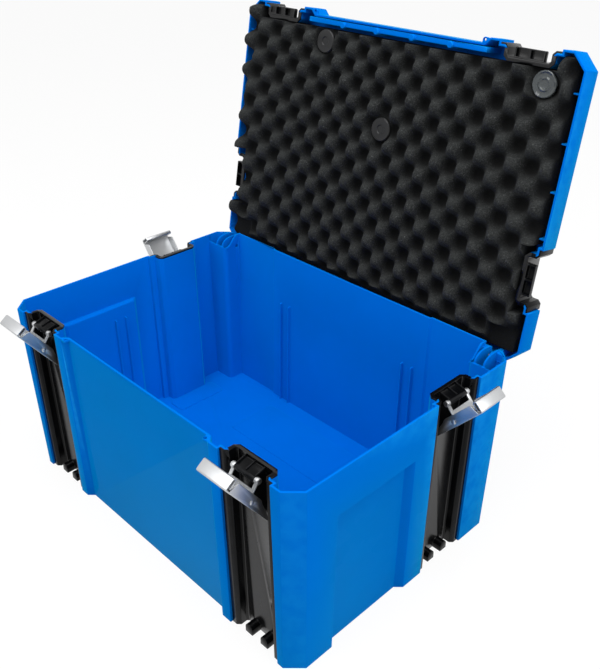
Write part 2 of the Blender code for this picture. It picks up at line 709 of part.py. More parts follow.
# Latch hardware, drawn closed about its own pivots
head_radius = EYE_RADIUS - CLEARANCE
pin_form = turned_x([
    (-PIN_HALF, 0.7 * head_radius), (-PIN_HALF + 0.4 * PIN_HEAD, head_radius),
    (-PIN_HALF + PIN_HEAD, head_radius), (-PIN_HALF + PIN_HEAD, PIN_RADIUS),
    (PIN_HALF - PIN_HEAD, PIN_RADIUS), (PIN_HALF - PIN_HEAD, head_radius),
    (PIN_HALF - 0.4 * PIN_HEAD, head_radius), (PIN_HALF, 0.7 * head_radius),
])

arm_out = EYE_OUT - CLEARANCE
plate = [
    (EYE_IN, 0), (EYE_IN, -LINK_BAR_TOP), (-EYE_IN, -LINK_BAR_TOP), (-EYE_IN, 0),
    (-arm_out, 0), (-arm_out, -LINK_REACH), (arm_out, -LINK_REACH), (arm_out, 0),
]
link_form = prism_y(plate, -LINK_THICK / 2, LINK_THICK / 2)
link_form = union(link_form, joined(both_sides(rod_x(EYE_IN, EYE_OUT, 0, 0, EYE_RADIUS))))
link_form = union(link_form, rod_x(-EYE_OUT, EYE_OUT, 0, -LINK_REACH, LEVER_EYE_RADIUS))
lever_bore = LEVER_PIN_RADIUS + CLEARANCE
link_form = cut(
    link_form,
    rod_x(-LEVER_OUT, LEVER_OUT, 0, 0, bore),
    rod_x(-LEVER_OUT, LEVER_OUT, 0, -LINK_REACH, lever_bore))

web = -LEVER_SEAT
fold = web + HEM_HEIGHT
hem_end = LEVER_REACH - HEM_LENGTH
sheet_path = [(web, -LEVER_TAIL), (web, LEVER_REACH), (fold, LEVER_REACH), (fold, hem_end),
              (web + 2.5 * SHEET, hem_end)]
lever_form = prism_x(strip(rounded_path(sheet_path, 1.5 * SHEET), -SHEET), -LEVER_OUT, LEVER_OUT)
flange_top = web + FLANGE_HEIGHT
sunk_web = web + SHEET / 2
flange = [
    (sunk_web, -0.92 * LEVER_TAIL), (web + 1.6 * SHEET, -0.92 * LEVER_TAIL),
    (flange_top - 2 * SHEET, -0.36 * LEVER_TAIL), (flange_top - 0.5 * SHEET, -0.28 * LEVER_TAIL),
    (flange_top, -0.20 * LEVER_TAIL), (flange_top, hem_end - 4.5 * SHEET),
    (flange_top - SHEET, hem_end - 3.5 * SHEET), (sunk_web, hem_end - 0.6 * SHEET),
]
lever_form = union(lever_form, joined(both_sides(prism_x(flange, LEVER_IN, LEVER_OUT))))
lever_form = cut(lever_form, rod_x(-2 * LEVER_OUT, 2 * LEVER_OUT, 0, 0, lever_bore))

rivet_in = LEVER_OUT + CLEARANCE
rivet_out = rivet_in + PIN_HEAD
rivet_form = turned_x([
    (-rivet_out, 0.8 * LEVER_PIN_RADIUS), (-rivet_in - 0.3 * PIN_HEAD, 1.6 * LEVER_PIN_RADIUS),
    (-rivet_in, 1.6 * LEVER_PIN_RADIUS), (-rivet_in, LEVER_PIN_RADIUS),
    (rivet_in, LEVER_PIN_RADIUS), (rivet_in, 1.6 * LEVER_PIN_RADIUS),
    (rivet_in + 0.3 * PIN_HEAD, 1.6 * LEVER_PIN_RADIUS), (rivet_out, 0.8 * LEVER_PIN_RADIUS),
])

for place, matrix in LATCHES.items():
    latch_place = empty("latch_place_" + place)
    latch_place.matrix_local = matrix
    pivot = (0, PIVOT_DEPTH, -PIVOT_DROP)
    link_turn = LINK_SWING + RIGHT_FURTHER * (place == "right_side")
    lever_turn = LEVER_SWING * link_turn / LINK_SWING
    link_axis = empty("link_axis_" + place, latch_place, pivot, (-link_turn, 0, 0))
    lever_axis = empty("lever_axis_" + place, link_axis, (0, 0, -LINK_REACH), (lever_turn, 0, 0))
    make("channel_" + place, liner_form, BLACK, latch_place)
    make("lid_catch_" + place, catch_form, BLACK, lid_axis, TO_HINGE @ matrix)
    make("pivot_pin_" + place, pin_form, STEEL, latch_place, Matrix.Translation(pivot))
    make("link_" + place, link_form, STEEL, link_axis)
    make("lever_" + place, lever_form, STEEL, lever_axis)
    make("lever_pin_" + place, rivet_form, STEEL, lever_axis)

# Foam: a sheet of peaks and hollows on cells half a pitch wide, left out round the troughs
foam_base = LID_CEILING - CLEARANCE
PLUGS = {
    "foam_plug_left": (-HL + PLUG_LEFT_FROM_END, -HW + PLUG_FROM_FRONT),
    "foam_plug_middle": (PLUG_MIDDLE_X, -HW + PLUG_MIDDLE_FROM_FRONT),
    "foam_plug_right": (HL - PLUG_RIGHT_FROM_END, -HW + PLUG_FROM_FRONT),
}
FOAM_EASE = 0.0015
foam_x = HL - TD - WALL - FOAM_EASE
foam_front = max(-HW + TD + WALL, tongue_back, post_y + POST_RADIUS) + FOAM_EASE
heel_reach = HINGE_Y - BACK_Y + BACK_PANEL_INSET + WALL
foam_back = HINGE_Y - math.hypot(heel_reach, HINGE_DROP + BACK_RISE) - FOAM_EASE


def lines(start, end):
    count = round((end - start) / (FOAM_PITCH / 2))
    return [start + (end - start) * k / count for k in range(count + 1)]


xs = [-HL + WALL + FOAM_GAP, *lines(-foam_x, foam_x), HL - WALL - FOAM_SIDE_GAP]
ys = [-HW + WALL + FOAM_GAP, *lines(foam_front, foam_back), foam_back + FOAM_HEEL_REACH]
half_trough = MOUTH + WALL + FOAM_EASE
solid_zones = [
    (-FRONT_X - half_trough, FRONT_X + half_trough, -HW, foam_front),
    (-HL, -foam_x, SIDE_Y - half_trough, SIDE_Y + half_trough),
    (foam_x, HL, SIDE_Y - half_trough, SIDE_Y + half_trough),
]
over_cheeks = H + BACK_RISE + FOAM_EASE
pressed_zones = [
    (COLUMN_X - FOAM_EASE, HL, COLUMN_Y - 2 * FOAM_EASE, HW, over_cheeks),
    (-HL, -COLUMN_X + FOAM_EASE, COLUMN_Y - 2 * FOAM_EASE, HW, over_cheeks),
]


def meets(cell, zone):
    edge = CLEARANCE / 10
    return (cell[1] - edge > zone[0] and cell[0] + edge < zone[1]
            and cell[3] - edge > zone[2] and cell[2] + edge < zone[3])


def reaches(cell, centre):
    dx = centre[0] - min(max(centre[0], cell[0]), cell[1])
    dy = centre[1] - min(max(centre[1], cell[2]), cell[3])
    return math.hypot(dx, dy) < PLUG_RADIUS + CLEARANCE


cells = {}
for i in range(len(xs) - 1):
    for j in range(len(ys) - 1):
        cell = (xs[i], xs[i + 1], ys[j], ys[j + 1])
        if not any(meets(cell, zone) for zone in solid_zones):
            cells[i, j] = cell
least = {}
for (i, j), cell in cells.items():
    levels = [H - FOAM_PROUD]
    levels += [H + PLUG_LEVEL for centre in PLUGS.values() if reaches(cell, centre)]
    levels += [zone[4] for zone in pressed_zones if meets(cell, zone)]
    for corner in ((i, j), (i + 1, j), (i, j + 1), (i + 1, j + 1)):
        least[corner] = max([least.get(corner, H - FOAM_PROUD), *levels])
for i in range(len(xs)):
    for row, level in ((len(ys) - 1, H + FOAM_HEEL_RISE), (len(ys) - 2, H - FOAM_HEEL_EASE)):
        least[i, row] = max(least.get((i, row), level), level)

corner_limit = HL + HW - CORNER_CUT - WALL * math.sqrt(2) - FOAM_EASE
bm = bmesh.new()
nodes = {}


def foam_node(i, j):
    if (i, j) not in nodes:
        z = H - FOAM_PROUD if (i + j) % 2 else H + FOAM_VALLEY
        z = max(z, least[i, j])
        over = max(0.0, abs(xs[i]) + abs(ys[j]) - corner_limit) / 2
        x = xs[i] - math.copysign(over, xs[i])
        y = ys[j] - math.copysign(over, ys[j])
        nodes[i, j] = bm.verts.new((x, y, z))
    return nodes[i, j]


for i, j in cells:
    ring = [foam_node(i, j), foam_node(i + 1, j), foam_node(i + 1, j + 1), foam_node(i, j + 1)]
    turn = 0 if (i + j) % 2 else 1
    a, b, c, d = ring[turn:] + ring[:turn]
    bm.faces.new((a, b, c))
    bm.faces.new((a, c, d))
rim = [edge for edge in bm.edges if edge.is_boundary]
walls = bmesh.ops.extrude_edge_only(bm, edges=rim)["geom"]
for item in walls:
    if isinstance(item, bmesh.types.BMVert):
        item.co.z = foam_base
low_rim = [edge for edge in bm.edges if edge.is_boundary]
bmesh.ops.edgeloop_fill(bm, edges=low_rim)
foam_form = mesh_from(bm)
stem_bore = PLUG_STEM + CLEARANCE
stem_holes = [prism_z(arc(x, y, stem_bore, 0, 330, 11), H - FOAM_PROUD, lid_top)
              for x, y in PLUGS.values()]
foam_form = cut(foam_form, *stem_holes)
make("foam_pad", moved(foam_form, TO_HINGE), FOAM, lid_axis)

disc_back = foam_base - (H + PLUG_LEVEL) + CLEARANCE
disc_face = disc_back + PLUG_THICK
plug_form = turned_x([
    (0, PLUG_STEM), (disc_back, PLUG_STEM), (disc_back, PLUG_RADIUS),
    (disc_face - PLUG_THICK / 3, PLUG_RADIUS), (disc_face, PLUG_RADIUS - PLUG_THICK / 3),
    (disc_face, 0.40 * PLUG_RADIUS), (disc_face - PLUG_THICK / 3, 0.34 * PLUG_RADIUS),
], 24)
moved(plug_form, Matrix.Rotation(math.pi / 2, 4, "Y"))
for name, (x, y) in PLUGS.items():
    make(name, plug_form, PLUG, lid_axis, TO_HINGE @ Matrix.Translation((x, y, foam_base)))

for spare in list(bpy.data.meshes):
    if spare.users == 0:
        bpy.data.meshes.remove(spare)
bpy.context.view_layer.update()
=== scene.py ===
"""Looks of the stackable tool case: camera, light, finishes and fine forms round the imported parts."""
import math

import bpy
from mathutils import Matrix, Vector


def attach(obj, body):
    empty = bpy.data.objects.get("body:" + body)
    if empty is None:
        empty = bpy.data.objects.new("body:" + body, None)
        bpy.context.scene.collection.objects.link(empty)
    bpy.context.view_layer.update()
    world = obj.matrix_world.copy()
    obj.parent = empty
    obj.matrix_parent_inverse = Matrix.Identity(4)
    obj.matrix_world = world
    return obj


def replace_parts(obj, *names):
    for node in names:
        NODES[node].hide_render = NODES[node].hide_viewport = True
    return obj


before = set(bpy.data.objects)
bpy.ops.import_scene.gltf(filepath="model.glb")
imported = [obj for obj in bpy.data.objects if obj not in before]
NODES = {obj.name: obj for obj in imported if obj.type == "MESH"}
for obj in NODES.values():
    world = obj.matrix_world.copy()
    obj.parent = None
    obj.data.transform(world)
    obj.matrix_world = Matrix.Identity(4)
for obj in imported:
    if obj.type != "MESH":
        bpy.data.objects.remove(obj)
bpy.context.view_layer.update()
SCENE = bpy.context.scene
SCENE.view_settings.view_transform = "Standard"

TUB_RIM = 0.280
TUB_FLOOR = 0.0035
WALL_SLOPE = 0.0214  # how far the tub's walls lean in for each unit of height towards the foot
LID_OPEN = math.radians(100)
HINGE_LINE = Vector((0, 0.1973, 0.2672))

# The open lid's inside faces along LID_FACING; what lies at height z on the closed lid is at LID_LEVEL - z that way.
LID_FACING = Vector((0, -math.sin(LID_OPEN), -math.cos(LID_OPEN)))
LID_LEVEL = HINGE_LINE.dot(LID_FACING) + HINGE_LINE.z
FOAM_MID, FOAM_WAVE = 0.2770, 0.0112


# Camera, fitted to the photograph's frame of 600 by 669
FRAME_WIDE, FRAME_TALL = 600, 669
FOCAL_PX = 837.41
OPTIC_X, OPTIC_Y = 311.72, 304.28
VIEW_TURN, VIEW_TILT, VIEW_ROLL = math.radians(134.99), math.radians(-28.12), math.radians(0.34)
CAMERA_PLACE = (0.7788, -0.6575, 0.8614)


def add_camera():
    lens = bpy.data.cameras.new("camera")
    lens.sensor_width = 36.0
    lens.lens = FOCAL_PX * lens.sensor_width / FRAME_TALL
    lens.shift_x = (FRAME_WIDE / 2 - OPTIC_X) / FRAME_TALL
    lens.shift_y = (OPTIC_Y - FRAME_TALL / 2) / FRAME_TALL
    lens.clip_start = 0.01
    camera = bpy.data.objects.new("camera", lens)
    SCENE.collection.objects.link(camera)
    turn = Matrix.Rotation(VIEW_TURN - math.pi / 2, 4, "Z")
    tilt = Matrix.Rotation(VIEW_TILT + math.pi / 2, 4, "X")
    roll = Matrix.Rotation(VIEW_ROLL, 4, "Z")
    camera.matrix_world = Matrix.Translation(CAMERA_PLACE) @ turn @ tilt @ roll
    SCENE.camera = camera


# Node groups that several finishes share
def new_group(name, inputs, outputs):
    group = bpy.data.node_groups.new(name, "ShaderNodeTree")
    for label, kind, value in inputs:
        socket = group.interface.new_socket(label, in_out="INPUT", socket_type=kind)
        socket.default_value = value
    for label, kind in outputs:
        group.interface.new_socket(label, in_out="OUTPUT", socket_type=kind)
    return group, group.nodes.new("NodeGroupInput"), group.nodes.new("NodeGroupOutput")


def noise(tree, vector, scale, detail, rough=0.5):
    node = tree.nodes.new("ShaderNodeTexNoise")
    node.inputs["Detail"].default_value = detail
    node.inputs["Roughness"].default_value = rough
    if isinstance(scale, (int, float)):
        node.inputs["Scale"].default_value = scale
    else:
        tree.links.new(scale, node.inputs["Scale"])
    tree.links.new(vector, node.inputs["Vector"])
    return node.outputs["Fac"]


def sums(tree, operation, first, second, clamp=False):
    node = tree.nodes.new("ShaderNodeMath")
    node.operation = operation
    node.use_clamp = clamp
    for socket, value in zip(node.inputs, (first, second)):
        if isinstance(value, (int, float)):
            socket.default_value = value
        else:
            tree.links.new(value, socket)
    return node.outputs[0]


def weighted(tree, first, first_share, second, second_share):
    return sums(tree, "ADD", sums(tree, "MULTIPLY", first, first_share), sums(tree, "MULTIPLY", second, second_share))


def ranged(tree, value, low, high, out_low, out_high):
    node = tree.nodes.new("ShaderNodeMapRange")
    for label, number in (("From Min", low), ("From Max", high), ("To Min", out_low), ("To Max", out_high)):
        if isinstance(number, (int, float)):
            node.inputs[label].default_value = number
        else:
            tree.links.new(number, node.inputs[label])
    tree.links.new(value, node.inputs["Value"])
    return node.outputs["Result"]


def stretched(tree, vector, stretch):
    node = tree.nodes.new("ShaderNodeMapping")
    node.inputs["Scale"].default_value = stretch
    tree.links.new(vector, node.inputs["Vector"])
    return node.outputs["Vector"]


def moulded_grain_group():
    """Spark-eroded mould texture: a fine pebble height and a slow mottle."""
    tree, given, result = new_group(
        "moulded_grain",
        [("Place", "NodeSocketVector", (0, 0, 0)), ("Fineness", "NodeSocketFloat", 1100.0)],
        [("Height", "NodeSocketFloat"), ("Mottle", "NodeSocketFloat")],
    )
    place = given.outputs["Place"]
    pebbles = tree.nodes.new("ShaderNodeTexVoronoi")
    pebbles.feature = "SMOOTH_F1"
    tree.links.new(place, pebbles.inputs["Vector"])
    tree.links.new(given.outputs["Fineness"], pebbles.inputs["Scale"])
    pits = noise(tree, place, sums(tree, "MULTIPLY", given.outputs["Fineness"], 0.6), 2.0)
    height = weighted(tree, pebbles.outputs["Distance"], 0.6, pits, 0.4)
    tree.links.new(height, result.inputs["Height"])
    slow = noise(tree, place, 9.0, 3.0, 0.55)
    tree.links.new(ranged(tree, slow, 0.3, 0.7, 0.0, 1.0), result.inputs["Mottle"])
    return tree


def scratches_and_edge_highlight_group():
    """A painted highlight along the sharp edges, patchy in places, and a few hair scratches, as masks from 0 to 1."""
    tree, given, result = new_group(
        "scratches_and_painted_edge_highlight",
        [
            ("Place", "NodeSocketVector", (0, 0, 0)),
            ("Edge Start", "NodeSocketFloat", 0.55),
            ("Edge Full", "NodeSocketFloat", 0.63),
        ],
        [("Painted Edge Highlight", "NodeSocketFloat"), ("Scratch", "NodeSocketFloat")],
    )
    place = given.outputs["Place"]
    shape = tree.nodes.new("ShaderNodeNewGeometry")
    # Painted highlight: the sharpest places, the edges, are picked out by pointiness so that they can be coloured
    # lighter.
    edge = ranged(tree, shape.outputs["Pointiness"], given.outputs["Edge Start"], given.outputs["Edge Full"], 0.0, 1.0)
    patchy = ranged(tree, noise(tree, place, 60.0, 4.0), 0.35, 0.6, 0.35, 1.0)
    tree.links.new(sums(tree, "MULTIPLY", edge, patchy, clamp=True), result.inputs["Painted Edge Highlight"])
    hairs = noise(tree, stretched(tree, place, (420.0, 18.0, 55.0)), 1.0, 2.0)
    lines = ranged(tree, hairs, 0.70, 0.76, 0.0, 1.0)
    where = ranged(tree, noise(tree, place, 7.0, 1.0), 0.5, 0.62, 0.0, 1.0)
    tree.links.new(sums(tree, "MULTIPLY", lines, where, clamp=True), result.inputs["Scratch"])
    return tree


GRAIN = moulded_grain_group()
SCRATCHES_AND_EDGE_HIGHLIGHT = scratches_and_edge_highlight_group()


# Finishes
class Finish:
    def __init__(self, name):
        self.material = bpy.data.materials.new(name)
        self.material.use_nodes = True
        self.tree = self.material.node_tree
        self.shader = self.tree.nodes["Principled BSDF"]
        self.place = self.tree.nodes.new("ShaderNodeTexCoord").outputs["Object"]

    def group(self, group, **values):
        node = self.tree.nodes.new("ShaderNodeGroup")
        node.node_tree = group
        self.tree.links.new(self.place, node.inputs["Place"])
        for label, value in values.items():
            node.inputs[label.replace("_", " ").title()].default_value = value
        return node.outputs

    def blend(self, share, first, second):
        node = self.tree.nodes.new("ShaderNodeMix")
        node.data_type = "RGBA"
        for socket, value in ((node.inputs[6], first), (node.inputs[7], second)):
            if isinstance(value, tuple):
                socket.default_value = (*value, 1)
            else:
                self.tree.links.new(value, socket)
        self.tree.links.new(share, node.inputs[0])
        return node.outputs[2]

    def feed(self, value, label):
        self.tree.links.new(value, self.shader.inputs[label])

    def bump(self, height, depth, strength):
        node = self.tree.nodes.new("ShaderNodeBump")
        node.inputs["Distance"].default_value = depth
        node.inputs["Strength"].default_value = strength
        self.tree.links.new(height, node.inputs["Height"])
        self.feed(node.outputs["Normal"], "Normal")


SKIN_SHARE, SKIN_ROUGHNESS = 0.52, 0.2


def moulded_plastic(name, colour, edge_highlight, roughness, gloss, depth, fineness, polished=None, bright=None):
    """Satin moulded plastic; polished masks what came off a mirror-bright mould, bright what has a glossy skin."""
    finish = Finish(name)
    grain = finish.group(GRAIN, fineness=fineness)
    scratch_and_highlight = finish.group(SCRATCHES_AND_EDGE_HIGHLIGHT)
    deep = tuple(c * 0.93 for c in colour)
    body = finish.blend(grain["Mottle"], deep, colour)
    # Painted highlight: edges are coloured lighter than the body, standing in for light caught on the rounded edges.
    with_edge_highlight = finish.blend(scratch_and_highlight["Painted Edge Highlight"], body, edge_highlight)
    finish.feed(with_edge_highlight, "Base Color")
    satin = ranged(finish.tree, grain["Mottle"], 0.0, 1.0, roughness - 0.04, roughness + 0.05)
    rough = sums(finish.tree, "ADD", satin, sums(finish.tree, "MULTIPLY", scratch_and_highlight["Scratch"], 0.06), clamp=True)
    relief = grain["Height"]
    if polished:
        kept = sums(finish.tree, "SUBTRACT", 1.0, polished(finish))
        satin_share = sums(finish.tree, "ADD", sums(finish.tree, "MULTIPLY", kept, 0.75), 0.25)
        rough = sums(finish.tree, "MULTIPLY", rough, satin_share)
        relief = sums(finish.tree, "MULTIPLY", relief, kept)
    finish.feed(rough, "Roughness")
    finish.shader.inputs["Specular IOR Level"].default_value = gloss
    if bright:
        finish.feed(sums(finish.tree, "MULTIPLY", bright(finish), SKIN_SHARE), "Coat Weight")
        finish.shader.inputs["Coat Roughness"].default_value = SKIN_ROUGHNESS
    finish.bump(relief, depth, 0.5)
    return finish.material


def wall_places(finish):
    """Distance from the middle plane, the sloping walls' inset, and the place along Y set upright again."""
    axes = finish.tree.nodes.new("ShaderNodeSeparateXYZ")
    finish.tree.links.new(finish.place, axes.inputs[0])
    aside = sums(finish.tree, "ABSOLUTE", axes.outputs["X"], 0.0)
    slope = sums(finish.tree, "MULTIPLY", axes.outputs["Z"], WALL_SLOPE)
    return aside, slope, sums(finish.tree, "ADD", axes.outputs["Y"], slope)


def front_panel(finish):
    """Mask of the sunk panel on the front of the tub, by its place."""
    aside, _, upright = wall_places(finish)
    outside = ranged(finish.tree, upright, -0.1890, -0.1884, 1.0, 0.0)
    across = ranged(finish.tree, aside, 0.1490, 0.1520, 1.0, 0.0)
    return sums(finish.tree, "MULTIPLY", outside, across)


def channel_back(finish):
    """Mask of the latch channels' back walls, by their place; it takes in the lid's front catches too."""
    aside, slope, upright = wall_places(finish)
    front = ranged(finish.tree, upright, -0.1800, -0.1795, 0.0, 1.0)
    side = ranged(finish.tree, sums(finish.tree, "SUBTRACT", aside, slope), 0.2757, 0.2762, 1.0, 0.0)
    return sums(finish.tree, "MULTIPLY", front, side)


def zinc_steel(name):
    finish = Finish(name)
    scratch_and_highlight = finish.group(SCRATCHES_AND_EDGE_HIGHLIGHT)
    streaks = noise(finish.tree, stretched(finish.tree, finish.place, (90.0, 90.0, 700.0)), 1.0, 2.0)
    cloud = noise(finish.tree, finish.place, 70.0, 3.0)
    tone = weighted(finish.tree, streaks, 0.5, cloud, 0.5)
    finish.feed(finish.blend(tone, (0.50, 0.51, 0.52), (0.55, 0.56, 0.57)), "Base Color")
    finish.shader.inputs["Metallic"].default_value = 1.0
    gloss = ranged(finish.tree, tone, 0.3, 0.7, 0.38, 0.43)
    scratched = sums(finish.tree, "MULTIPLY", scratch_and_highlight["Scratch"], 0.15)
    finish.feed(sums(finish.tree, "ADD", gloss, scratched, clamp=True), "Roughness")
    finish.bump(streaks, 0.000001, 0.1)
    return finish.material


def open_cell_foam(name):
    finish = Finish(name)
    cells = finish.tree.nodes.new("ShaderNodeTexVoronoi")
    cells.inputs["Scale"].default_value = 620.0
    finish.tree.links.new(finish.place, cells.inputs["Vector"])
    lint = noise(finish.tree, finish.place, 560.0, 4.0, 0.7)
    cloud = noise(finish.tree, finish.place, 40.0, 3.0)
    walls = ranged(finish.tree, cells.outputs["Distance"], 0.15, 0.75, 0.0, 1.0)
    tone = weighted(finish.tree, walls, 0.6, cloud, 0.3)
    # Painted shade: the foam's colour darkens from its crests down into the pits of the waved face, measured by height
    # along LID_FACING, where shade falls; the light flecks fade the same way.
    height = finish.tree.nodes.new("ShaderNodeVectorMath")
    height.operation = "DOT_PRODUCT"
    height.inputs[1].default_value = LID_FACING
    finish.tree.links.new(finish.place, height.inputs[0])
    middle = LID_LEVEL - FOAM_MID
    hollow, crest = middle - 0.6 * FOAM_WAVE, middle + 0.5 * FOAM_WAVE
    painted_pit_shade = ranged(finish.tree, height.outputs["Value"], hollow, crest, 0.06, 1.0)
    tone_with_painted_shade = sums(finish.tree, "MULTIPLY", tone, painted_pit_shade)
    body = finish.blend(tone_with_painted_shade, (0.0025, 0.0027, 0.0027), (0.036, 0.039, 0.039))
    flecks = ranged(finish.tree, lint, 0.58, 0.70, 0.0, 0.9)
    fleck_share = sums(finish.tree, "MULTIPLY", flecks, painted_pit_shade)
    finish.feed(finish.blend(fleck_share, body, (0.11, 0.115, 0.115)), "Base Color")
    finish.shader.inputs["Roughness"].default_value = 1.0
    finish.shader.inputs["Specular IOR Level"].default_value = 0.2
    pores = weighted(finish.tree, walls, 0.7, lint, 0.5)
    finish.bump(pores, 0.0007, 0.7)
    return finish.material


def clear_plastic(name):
    finish = Finish(name)
    cloud = noise(finish.tree, finish.place, 160.0, 3.0)
    finish.shader.inputs["Base Color"].default_value = (0.10, 0.115, 0.12, 1)
    finish.feed(ranged(finish.tree, cloud, 0.3, 0.7, 0.05, 0.12), "Roughness")
    finish.shader.inputs["Transmission Weight"].default_value = 0.5
    finish.shader.inputs["IOR"].default_value = 1.46
    finish.bump(cloud, 0.0001, 0.2)
    return finish.material


# The edge colours given below are painted highlights, lighter than each body colour.
BLUE = moulded_plastic(
    "blue_shell", colour=(0.0, 0.132, 0.615), edge_highlight=(0.02, 0.50, 0.98),
    roughness=0.28, gloss=0.001, depth=0.00004, fineness=1300.0, polished=front_panel,
)
BLUE_SHEEN = {
    "Sheen Weight": 0.3, "Sheen Roughness": 0.45, "Sheen Tint": (0.0, 1.0, 0.6, 1),
    "Specular Tint": (0.15, 0.5, 1.0, 1),
}
for label, value in BLUE_SHEEN.items():
    BLUE.node_tree.nodes["Principled BSDF"].inputs[label].default_value = value
BLACK = moulded_plastic(
    "black_moulding", colour=(0.0018, 0.0020, 0.0025), edge_highlight=(0.045, 0.047, 0.051),
    roughness=0.24, gloss=0.08, depth=0.00003, fineness=1000.0, bright=channel_back,
)
DARK_PLUG = moulded_plastic(
    "dark_plug", colour=(0.011, 0.0117, 0.0124), edge_highlight=(0.04, 0.04, 0.04),
    roughness=0.38, gloss=0.25, depth=0.00008, fineness=900.0,
)
STEEL = zinc_steel("zinc_steel")
FOAM = open_cell_foam("open_cell_foam")
CLEAR = clear_plastic("clear_plug")


# Modelling by hand
SHELL_ROUND, LINER_ROUND, SHEET_ROUND, PLUG_ROUND = 0.0008, 0.0005, 0.0003, 0.0006


def work_on(piece):
    if bpy.context.mode != "OBJECT":
        bpy.ops.object.mode_set(mode="OBJECT")
    bpy.ops.object.select_all(action="DESELECT")
    piece.select_set(True)
    bpy.context.view_layer.objects.active = piece


def editing(piece, choose="SELECT"):
    work_on(piece)
    bpy.ops.object.mode_set(mode="EDIT")
    bpy.ops.mesh.select_all(action=choose)


def finished(piece, body, material, smooth=35):
    work_on(piece)
    bpy.ops.object.transform_apply(location=True, rotation=True, scale=True)
    bpy.ops.object.shade_smooth_by_angle(angle=math.radians(smooth))
    piece.data.materials.clear()
    piece.data.materials.append(material)
    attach(piece, body)


def pick_edges(piece, wanted):
    """Leaves only the wanted edges selected, in edit mode."""
    editing(piece, "DESELECT")
    bpy.ops.mesh.select_mode(type="EDGE")
    bpy.ops.object.mode_set(mode="OBJECT")
    points = piece.data.vertices
    for edge in piece.data.edges:
        first, second = (points[i].co for i in edge.vertices)
        edge.select = wanted(first, second)
    bpy.ops.object.mode_set(mode="EDIT")


GRIP_LEDGE = 0.218
GRIP_FROM, GRIP_TO = -0.14, 0.01
GRIP_INNER, GRIP_OUTER = 0.28, 0.2872
NEAR = 0.0004
LEDGE_ROUND = 0.003


def grip_ledge(first, second):
    """True for the upper edges of the two hand-grip bulges inside the end walls."""
    level = max(abs(first.z - GRIP_LEDGE), abs(second.z - GRIP_LEDGE)) < NEAR
    at_grip = GRIP_FROM < min(first.y, second.y) and max(first.y, second.y) < GRIP_TO
    inner, outer = sorted((abs(first.x), abs(second.x)))
    slanted = abs(outer - inner - abs(first.y - second.y)) < NEAR and outer - inner > 0.005
    return level and at_grip and inner > GRIP_INNER and (outer < GRIP_OUTER or slanted)


def softened(node, body, material, width, segments=2, rolled=None):
    """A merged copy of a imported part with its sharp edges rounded."""
    source = NODES[node]
    piece = bpy.data.objects.new(node + "_moulding", source.data.copy())
    SCENE.collection.objects.link(piece)
    editing(piece)
    bpy.ops.mesh.remove_doubles(threshold=0.00001)
    if rolled:
        pick_edges(piece, rolled)
        bpy.ops.mesh.bevel(offset=LEDGE_ROUND, segments=4, affect="EDGES")
    bpy.ops.object.mode_set(mode="OBJECT")
    bpy.ops.mesh.customdata_custom_splitnormals_clear()
    edges = piece.modifiers.new("rounded_edges", "BEVEL")
    edges.width = width
    edges.segments = segments
    edges.limit_method = "ANGLE"
    edges.angle_limit = math.radians(38)
    edges.use_clamp_overlap = False
    bpy.ops.object.modifier_apply(modifier="rounded_edges")
    finished(piece, body, material)
    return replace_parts(piece, node)


def opened(piece):
    """Turns a piece that was drawn on the closed lid to the lid's open place."""
    back = Matrix.Translation(-HINGE_LINE)
    turn = Matrix.Rotation(-LID_OPEN, 4, "X")
    piece.data.transform(Matrix.Translation(HINGE_LINE) @ turn @ back)


def dished(plug):
    """Sinks a shallow dish into the showing face of a plug."""
    editing(plug, "DESELECT")
    bpy.ops.mesh.select_mode(type="FACE")
    bpy.ops.object.mode_set(mode="OBJECT")
    facing = [face.center.dot(LID_FACING) for face in plug.data.polygons]
    for face, level in zip(plug.data.polygons, facing):
        face.select = level > max(facing) - 0.0003 and face.normal.dot(LID_FACING) > 0.99
    bpy.ops.object.mode_set(mode="EDIT")
    bpy.ops.mesh.inset(thickness=0.0022, depth=-0.0011)
    bpy.ops.object.mode_set(mode="OBJECT")
    bpy.ops.object.shade_smooth_by_angle(angle=math.radians(25))


# Small mouldings on the tub
LATCH_PLACES = {
    "front_left": (-0.2205, -0.204, 0), "front_right": (0.2205, -0.204, 0),
    "left_side": (-0.3, 0.083, -90), "right_side": (0.3, 0.083, 90),
}
BOSS_HALF = 0.0158
WEB_CENTRE, WEB_SIZE = (0, 0.0119, -0.0069), (0.0009, 0.0138, 0.0022)
WEB_BACK, WEB_RISE, WEB_ROUND = 0.018, 0.0034, 0.0002
PAD_SINK = 0.0006
PLATEAU_WIDE, PLATEAU_DEEP, PLATEAU_CORNER, PLATEAU_HEIGHT = 0.276, 0.092, 0.004, 0.0007
TROUGH_PAD_LONG, TROUGH_PAD_SHORT, TROUGH_PAD_CORNER, TROUGH_PAD_HEIGHT = 0.095, 0.038, 0.010, 0.0014
SIDE_PAD_X, FRONT_PAD_Y = 0.253, -0.157


def block(name, centre, size):
    bpy.ops.object.select_all(action="DESELECT")
    bpy.ops.mesh.primitive_cube_add(size=1, location=centre)
    piece = bpy.context.object
    piece.name = name
    piece.scale = size
    bpy.ops.object.transform_apply(location=True, rotation=True, scale=True)
    return piece


def copied(piece, name, move):
    twin = bpy.data.objects.new(name, piece.data.copy())
    SCENE.collection.objects.link(twin)
    twin.data.transform(move)
    return twin


